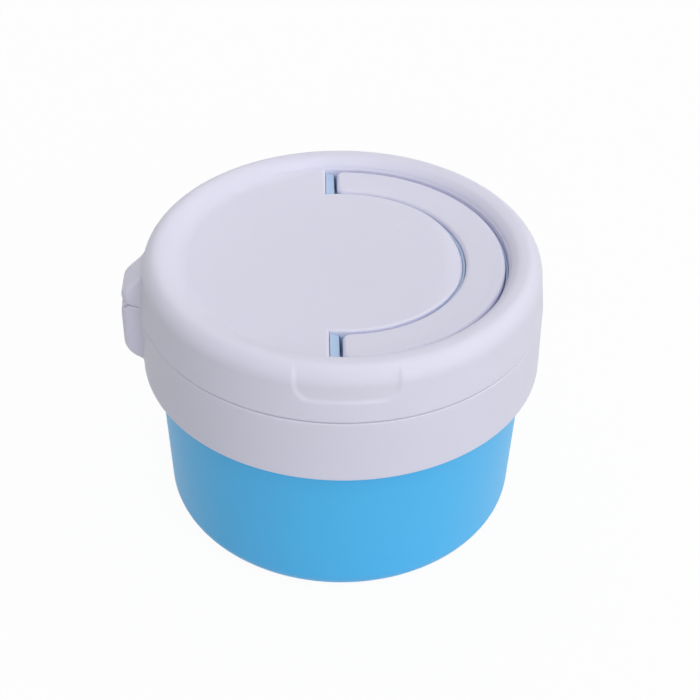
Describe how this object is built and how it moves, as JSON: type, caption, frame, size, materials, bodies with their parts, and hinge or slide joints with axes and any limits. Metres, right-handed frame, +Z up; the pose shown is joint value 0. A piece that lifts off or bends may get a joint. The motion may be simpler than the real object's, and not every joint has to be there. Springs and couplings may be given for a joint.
{
  "type": "toddler snack container",
  "caption": "Round toddler snack cup with a turn-off collar, soft flap guard, flip lid on a side hinge and a flush carrying handle in the lid.",
  "frame": {"origin": "centre of the cup's foot, in the plane that it stands on", "axes": "+Z up the cup's axis; -X towards the lid's hinge; the thumb recesses are at -Y and +Y"},
  "size_m": [0.1052, 0.1008, 0.074],
  "materials": {
    "cup_blue": "soft gloss, slightly translucent blue polypropylene",
    "shell_white": "satin white polypropylene",
    "liner_blue": "satin blue plastic",
    "guard_soft": "soft matt elastomer",
    "seal_soft": "matt silicone",
    "pin_white": "satin plastic pin"
  },
  "bodies": {
    "cup": {"cup": "cup_blue"},
    "collar": {"collar": "shell_white", "cup_gasket": "seal_soft", "guard_ring": "guard_soft", "hinge_pin": "pin_white"},
    "lid": {"lid_shell": "shell_white", "lid_liner": "liner_blue", "lid_seal": "seal_soft"},
    "handle": {"handle": "shell_white"},
    "flap_1": {"flap_1": "guard_soft"},
    "flap_2": {"flap_2": "guard_soft"},
    "flap_3": {"flap_3": "guard_soft"},
    "flap_4": {"flap_4": "guard_soft"},
    "flap_5": {"flap_5": "guard_soft"},
    "flap_6": {"flap_6": "guard_soft"}
  },
  "joints": [
    {"name": "collar_turn", "type": "hinge", "parent": "cup", "child": "collar", "pos_m": [0, 0, 0.05], "axis": [0, 0, 1], "range_deg": [0, 45]},
    {"name": "lid_hinge", "type": "hinge", "parent": "collar", "child": "lid", "pos_m": [-0.0535, 0, 0.05985], "axis": [0, -1, 0], "range_deg": [0, 95]},
    {"name": "handle_pivot", "type": "hinge", "parent": "lid", "child": "handle", "pos_m": [0.0018, 0, 0.06845], "axis": [0, -1, 0], "range_deg": [0, 120]},
    {"name": "flap_1_bend", "type": "hinge", "parent": "collar", "child": "flap_1", "pos_m": [0.0316, 0, 0.0586], "axis": [0, -1, 0], "range_deg": [0, 70], "stiffness_Nm_per_rad": 0.02},
    {"name": "flap_2_bend", "type": "hinge", "parent": "collar", "child": "flap_2", "pos_m": [0.0158, 0.02737, 0.0586], "axis": [0.866, -0.5, 0], "range_deg": [0, 70], "stiffness_Nm_per_rad": 0.02},
    {"name": "flap_3_bend", "type": "hinge", "parent": "collar", "child": "flap_3", "pos_m": [-0.0158, 0.02737, 0.0586], "axis": [0.866, 0.5, 0], "range_deg": [0, 70], "stiffness_Nm_per_rad": 0.02},
    {"name": "flap_4_bend", "type": "hinge", "parent": "collar", "child": "flap_4", "pos_m": [-0.0316, 0, 0.0586], "axis": [0, 1, 0], "range_deg": [0, 70], "stiffness_Nm_per_rad": 0.02},
    {"name": "flap_5_bend", "type": "hinge", "parent": "collar", "child": "flap_5", "pos_m": [-0.0158, -0.02737, 0.0586], "axis": [-0.866, 0.5, 0], "range_deg": [0, 70], "stiffness_Nm_per_rad": 0.02},
    {"name": "flap_6_bend", "type": "hinge", "parent": "collar", "child": "flap_6", "pos_m": [0.0158, -0.02737, 0.0586], "axis": [-0.866, -0.5, 0], "range_deg": [0, 70], "stiffness_Nm_per_rad": 0.02}
  ]
}
